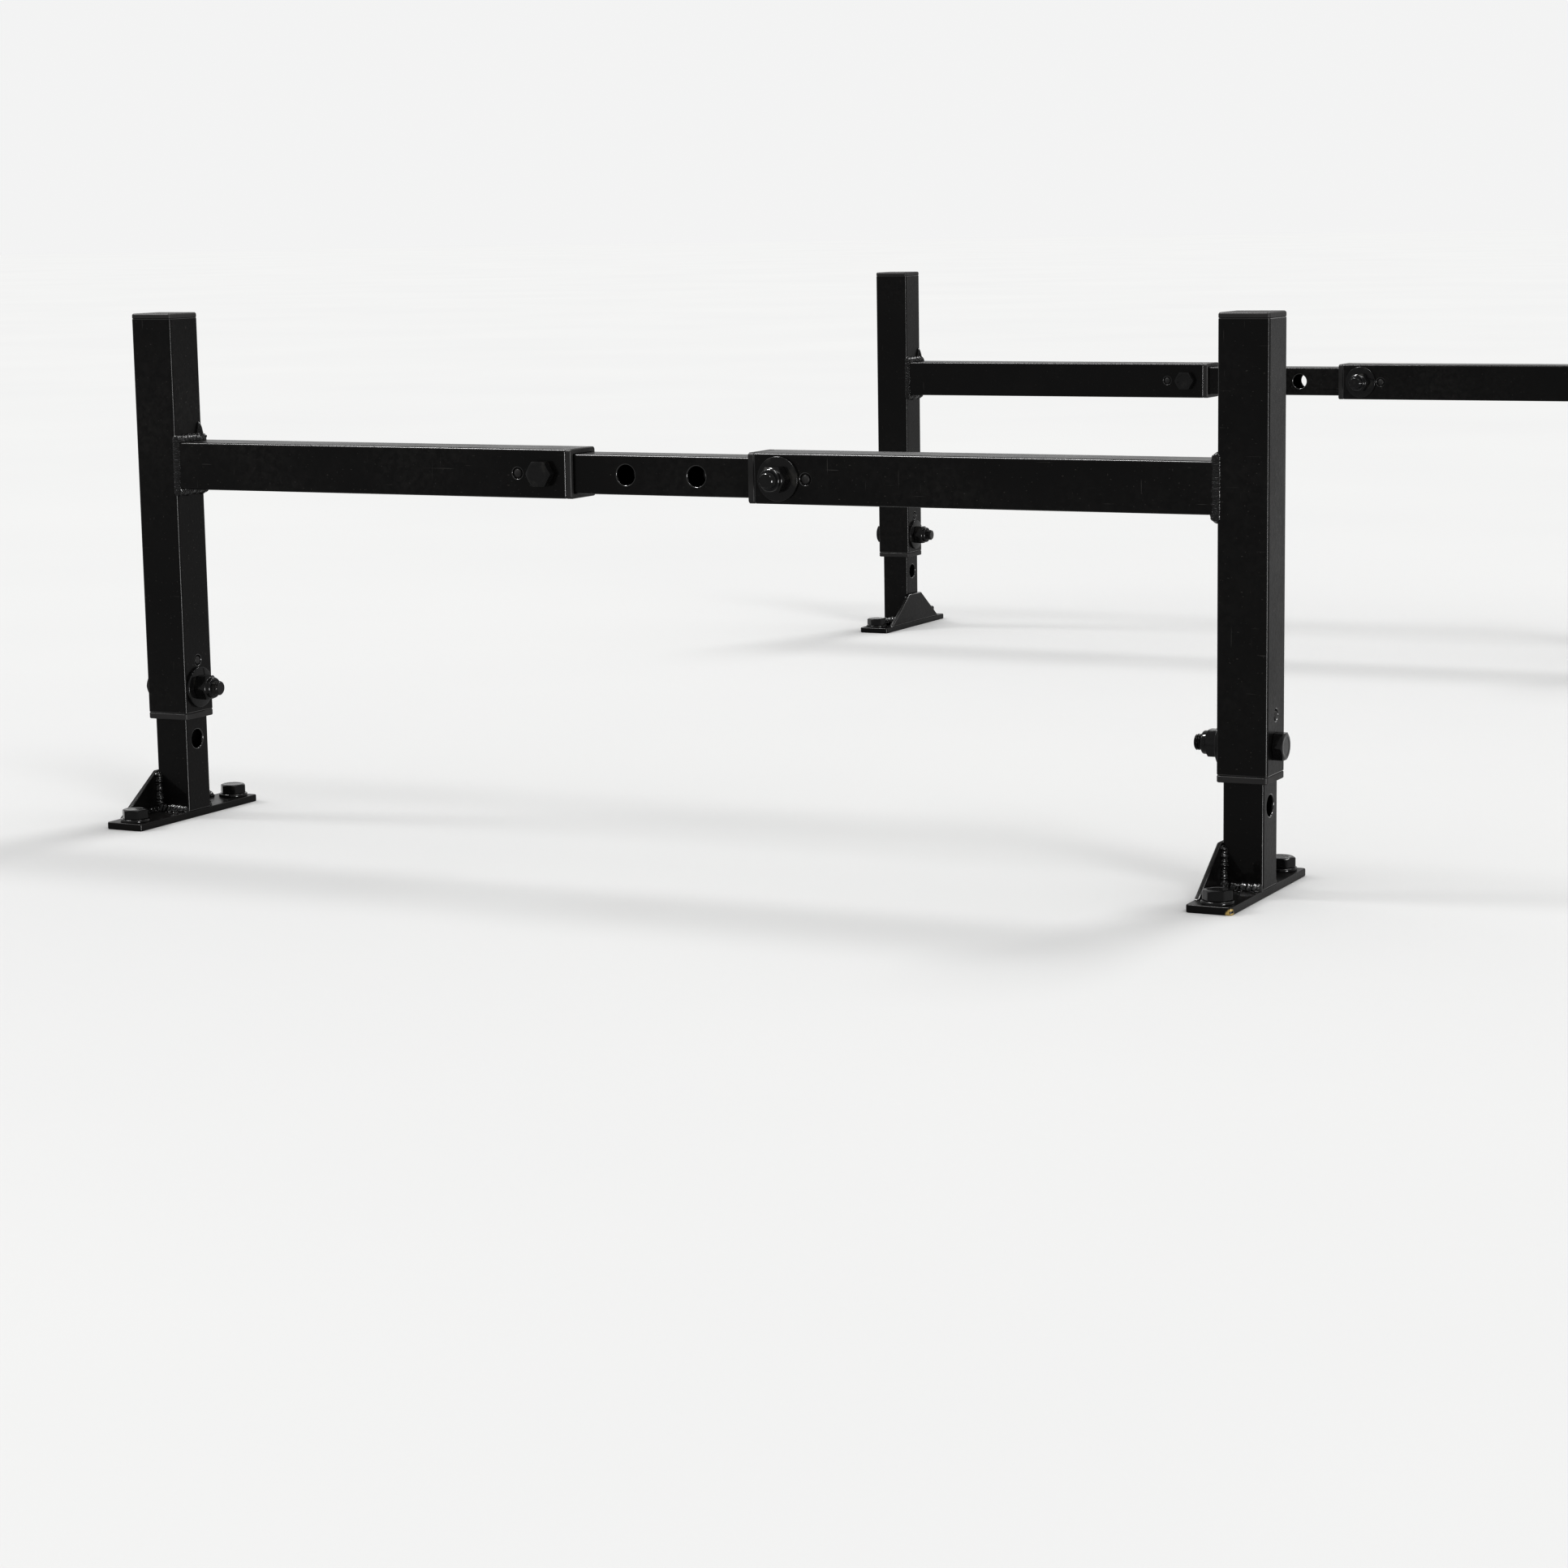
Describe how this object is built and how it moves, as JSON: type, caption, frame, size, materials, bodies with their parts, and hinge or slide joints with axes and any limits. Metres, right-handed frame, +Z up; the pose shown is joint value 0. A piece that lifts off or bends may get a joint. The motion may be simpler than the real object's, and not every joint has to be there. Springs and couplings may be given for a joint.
{
  "type": "adjustable ladder rack set",
  "caption": "Pair of H-shaped telescoping cross racks of black square tube, with collars, through-bolts and gusseted feet that bolt on two rims.",
  "frame": {"origin": "middle of the four feet's footprint, at the level of the mounting bolts' lower ends; the feet's undersides are 23.2 mm above it", "axes": "+X to the right across the racks, +Y from the front rack to the rear rack, +Z up"},
  "size_m": [0.8196, 1.332, 0.3686],
  "materials": {
    "powder_coat": "satin black powder coat",
    "black_plastic": "moulded black plastic",
    "black_hardware": "black oxide steel"
  },
  "bodies": {
    "left_feet": {"front_left_leg": "powder_coat", "front_left_base_plate": "powder_coat", "front_left_gusset": "powder_coat", "front_left_mounting_bolts": "black_hardware", "front_left_mounting_washers": "black_hardware", "front_left_mounting_nuts": "black_hardware", "rear_left_leg": "powder_coat", "rear_left_base_plate": "powder_coat", "rear_left_gusset": "powder_coat", "rear_left_mounting_bolts": "black_hardware", "rear_left_mounting_washers": "black_hardware", "rear_left_mounting_nuts": "black_hardware"},
    "front_left_frame": {"front_left_upright": "powder_coat", "front_left_crossbar_sleeve": "powder_coat", "front_left_leg_collar": "black_plastic", "front_left_crossbar_collar": "black_plastic", "front_left_end_cap": "black_plastic", "front_left_through_bolts": "black_hardware", "front_left_washers": "black_hardware", "front_left_lock_nuts": "black_hardware"},
    "front_bar": {"front_inner_bar": "powder_coat"},
    "front_right_frame": {"front_right_upright": "powder_coat", "front_right_crossbar_sleeve": "powder_coat", "front_right_leg_collar": "black_plastic", "front_right_crossbar_collar": "black_plastic", "front_right_end_cap": "black_plastic", "front_right_through_bolts": "black_hardware", "front_right_washers": "black_hardware", "front_right_lock_nuts": "black_hardware"},
    "front_right_foot": {"front_right_leg": "powder_coat", "front_right_base_plate": "powder_coat", "front_right_gusset": "powder_coat", "front_right_mounting_bolts": "black_hardware", "front_right_mounting_washers": "black_hardware", "front_right_mounting_nuts": "black_hardware"},
    "rear_left_frame": {"rear_left_upright": "powder_coat", "rear_left_crossbar_sleeve": "powder_coat", "rear_left_leg_collar": "black_plastic", "rear_left_crossbar_collar": "black_plastic", "rear_left_end_cap": "black_plastic", "rear_left_through_bolts": "black_hardware", "rear_left_washers": "black_hardware", "rear_left_lock_nuts": "black_hardware"},
    "rear_bar": {"rear_inner_bar": "powder_coat"},
    "rear_right_frame": {"rear_right_upright": "powder_coat", "rear_right_crossbar_sleeve": "powder_coat", "rear_right_leg_collar": "black_plastic", "rear_right_crossbar_collar": "black_plastic", "rear_right_end_cap": "black_plastic", "rear_right_through_bolts": "black_hardware", "rear_right_washers": "black_hardware", "rear_right_lock_nuts": "black_hardware"},
    "rear_right_foot": {"rear_right_leg": "powder_coat", "rear_right_base_plate": "powder_coat", "rear_right_gusset": "powder_coat", "rear_right_mounting_bolts": "black_hardware", "rear_right_mounting_washers": "black_hardware", "rear_right_mounting_nuts": "black_hardware"}
  },
  "joints": [
    {"name": "front_left_height", "type": "slide", "parent": "left_feet", "child": "front_left_frame", "axis": [0, 0, 1], "range_m": [-0.036, 0.18]},
    {"name": "front_left_width", "type": "slide", "parent": "front_left_frame", "child": "front_bar", "axis": [1, 0, 0], "range_m": [0, 0.1524]},
    {"name": "front_right_width", "type": "slide", "parent": "front_bar", "child": "front_right_frame", "axis": [1, 0, 0], "range_m": [0, 0.1524]},
    {"name": "front_right_height", "type": "slide", "parent": "front_right_frame", "child": "front_right_foot", "axis": [0, 0, -1], "range_m": [-0.036, 0.18]},
    {"name": "rear_left_height", "type": "slide", "parent": "left_feet", "child": "rear_left_frame", "axis": [0, 0, 1], "range_m": [-0.036, 0.18]},
    {"name": "rear_left_width", "type": "slide", "parent": "rear_left_frame", "child": "rear_bar", "axis": [1, 0, 0], "range_m": [0, 0.1524]},
    {"name": "rear_right_width", "type": "slide", "parent": "rear_bar", "child": "rear_right_frame", "axis": [1, 0, 0], "range_m": [0, 0.1524]},
    {"name": "rear_right_height", "type": "slide", "parent": "rear_right_frame", "child": "rear_right_foot", "axis": [0, 0, -1], "range_m": [-0.036, 0.18]}
  ]
}
